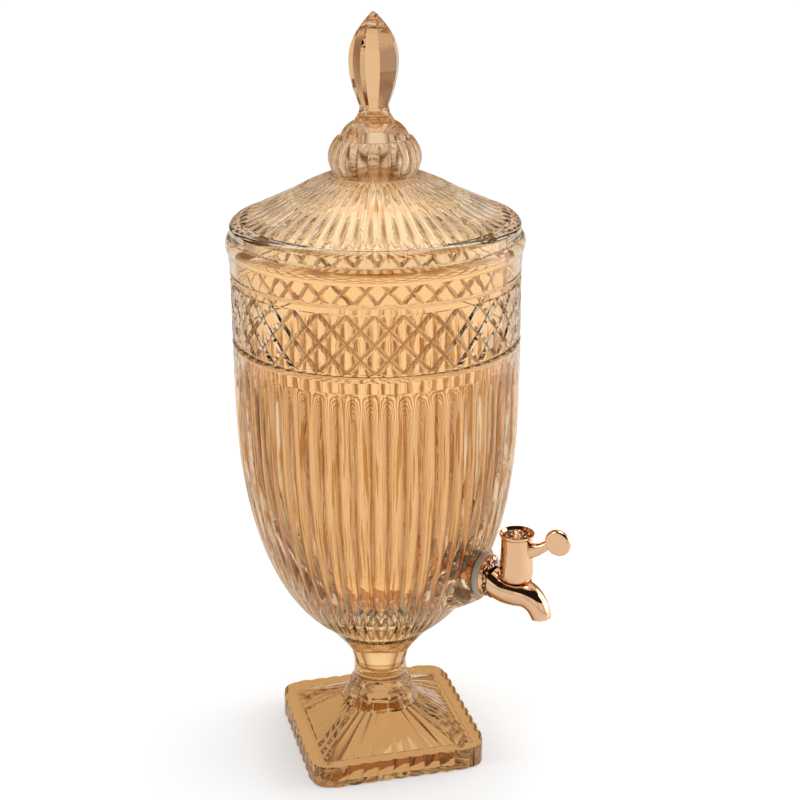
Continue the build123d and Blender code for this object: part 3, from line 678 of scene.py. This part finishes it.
# %% The room seen through glass
WHITE = (1, 1, 1, 1)
BROWN = (0.20, 0.085, 0.022, 1)
BROWN_START = (0.008, 0.13)
BROWN_END = (0.62, 0.95)
BROWN_SHARE = 0.95
PANEL_SHARE = 0.7
LEDGE_HEIGHTS = (0.57, 0.74)
LEDGE_EDGE = 0.04
aside = 1 - backward
beside = aside.rise(*BROWN_START) * (1 - aside.rise(*BROWN_END))
ledge = upward.between(*LEDGE_HEIGHTS, LEDGE_EDGE)
seen_through = room.mix(beside * (BROWN_SHARE - PANEL_SHARE * panel) + ledge, WHITE, BROWN)
print("brown ledge from", *LEDGE_HEIGHTS)

# %% The room seen in a mirror
AMBER = (0.42, 0.22, 0.08, 1)
BLACK = (0.02, 0.015, 0.01, 1)
FRONT_EDGE = (-0.2, 0.2)
SHELF_HEIGHTS = (0.34, 0.86)
SHELF_EDGE = 0.05
WALL_EDGE = (-0.1, 0.5)
WALL_TOP = (0.45, 0.75)
GAP_SHARE = 0.2
shelf = upward.between(*SHELF_HEIGHTS, SHELF_EDGE) * (0 - backward).rise(*FRONT_EDGE)
wall = backward.rise(*WALL_EDGE) * (1 - upward.rise(*WALL_TOP))
mirrored = room.mix(GAP_SHARE * (1 - panel) + shelf, room.mix(wall, WHITE, AMBER), BLACK)
print("black shelf from", *SHELF_HEIGHTS)

# %% One world from the rooms
GREY = (0.4, 0.4, 0.4, 1)
picture = room.mix(room.ray("Is Glossy Ray"), GREY, mirrored)
picture = room.mix(room.ray("Is Transmission Ray"), picture, seen_through)
picture = room.mix(room.ray("Is Camera Ray"), picture, WHITE)
light = room.node("ShaderNodeBackground", inputs={"Color": picture, "Strength": 1.0})
room.node("ShaderNodeOutputWorld", inputs={"Surface": light})
print(world.name, "with", len(room.tree.nodes), "nodes")

# %% [markdown]
# ## Floor and lamps
# A pale floor takes the soft shadow. It glows a little for the camera, more so further out, where it
# fades into the white room. A broad lamp overhead draws the white streaks on the lid. A tall narrow one
# on the left draws long highlights on the reeds, and a broad one on the right draws the white band on
# the spout. Neither the camera nor light that has come through glass sees the lamps.

# %% Floor
FLOOR_SIZE = 60.0
FLOOR_Z = -0.0005
FAR_OUT = (0.25, 1.3)
NEAR_GLOW = 0.28
FAR_GLOW = 0.38
MIRRORED_SHARE = 0.4
bpy.ops.mesh.primitive_plane_add(size=FLOOR_SIZE, location=(0, 0, FLOOR_Z))
floor = bpy.context.object
floor.name = "pale_floor"
floor.visible_transmission = False
paper = Finish("pale_paper", Base_Color=(0.9, 0.9, 0.9, 1), Roughness=0.9, Specular_IOR_Level=0.1)
x, y, _ = paper.split(paper.places())
far = (x * x + y * y).math("SQRT").rise(*FAR_OUT)
seen = paper.ray("Is Camera Ray") + MIRRORED_SHARE * paper.ray("Is Glossy Ray")
paper.set(Emission_Color=seen * (NEAR_GLOW + FAR_GLOW * far), Emission_Strength=1.0)
paper.paint(floor)

# %% Lamps
LAMP_AIM = Vector((0, 0, 0.25))


def studio_point(right, away, up):
    """Place given as right of, beyond and above the object, as the camera sees it."""
    c, s = cos(radians(CAMERA_TURN)), sin(radians(CAMERA_TURN))
    return Vector((right * c - away * s, right * s + away * c, up))


def soft_lamp(name, spot, width, height, power):
    lamp = bpy.data.lights.new(name, "AREA")
    lamp.shape = "RECTANGLE"
    lamp.size = width
    lamp.size_y = height
    lamp.energy = power
    holder = bpy.data.objects.new(name, lamp)
    scene.collection.objects.link(holder)
    holder.location = spot
    holder.visible_camera = False
    holder.visible_transmission = False
    holder.rotation_euler = (LAMP_AIM - spot).to_track_quat("-Z", "Y").to_euler()
    print(name, "at", [round(place, 3) for place in spot])


soft_lamp("overhead_panel", studio_point(right=0, away=0.1, up=1.3), width=0.7, height=0.95, power=7.3)
soft_lamp("left_panel", studio_point(right=-1.2, away=-0.5, up=0.7), width=0.25, height=1.0, power=3.5)
soft_lamp("right_panel", studio_point(right=1.1, away=0.1, up=0.45), width=1.0, height=0.86, power=7.4)

# %% [markdown]
# ## Camera
# The picture was taken from a little above, with a long lens, so the rim and the square foot look only
# slightly foreshortened. The place of the lens came from the ellipses of rim and rings and from the
# foot's four edges.

# %% Camera
CAMERA_SIDE = 0.0137
CAMERA_BACK = 0.9509
CAMERA_UP = 0.5707
CAMERA_PITCH = radians(19.697)
CAMERA_ROLL = radians(-0.3443)
LENS = 75.02
SENSOR = 36.0
lens = bpy.data.cameras.new("product_camera")
lens.lens = LENS
lens.sensor_width = SENSOR
camera = bpy.data.objects.new("product_camera", lens)
scene.collection.objects.link(camera)
right = studio_point(1, 0, 0)
away = studio_point(0, 1, 0)
up = studio_point(0, 0, 1)
look = away * cos(CAMERA_PITCH) - up * sin(CAMERA_PITCH)
lift_axis = away * sin(CAMERA_PITCH) + up * cos(CAMERA_PITCH)
side_axis = right * cos(CAMERA_ROLL) + lift_axis * sin(CAMERA_ROLL)
top_axis = lift_axis * cos(CAMERA_ROLL) - right * sin(CAMERA_ROLL)
turn = Matrix((side_axis, top_axis, -look)).transposed().to_4x4()
camera.matrix_world = Matrix.Translation(studio_point(CAMERA_SIDE, -CAMERA_BACK, CAMERA_UP)) @ turn
scene.camera = camera
print("camera at", [round(place, 4) for place in camera.matrix_world.translation])

# %% [markdown]
# ## Picture settings
# Light goes through many glass faces before it gets out, so the tracer may follow it further than
# usual. Colours are shown as they are written.

# %% Light paths and view
scene.view_settings.view_transform = "Standard"
scene.cycles.max_bounces = 32
scene.cycles.transmission_bounces = 28
scene.cycles.glossy_bounces = 8
print("light may bounce", scene.cycles.max_bounces, "times")
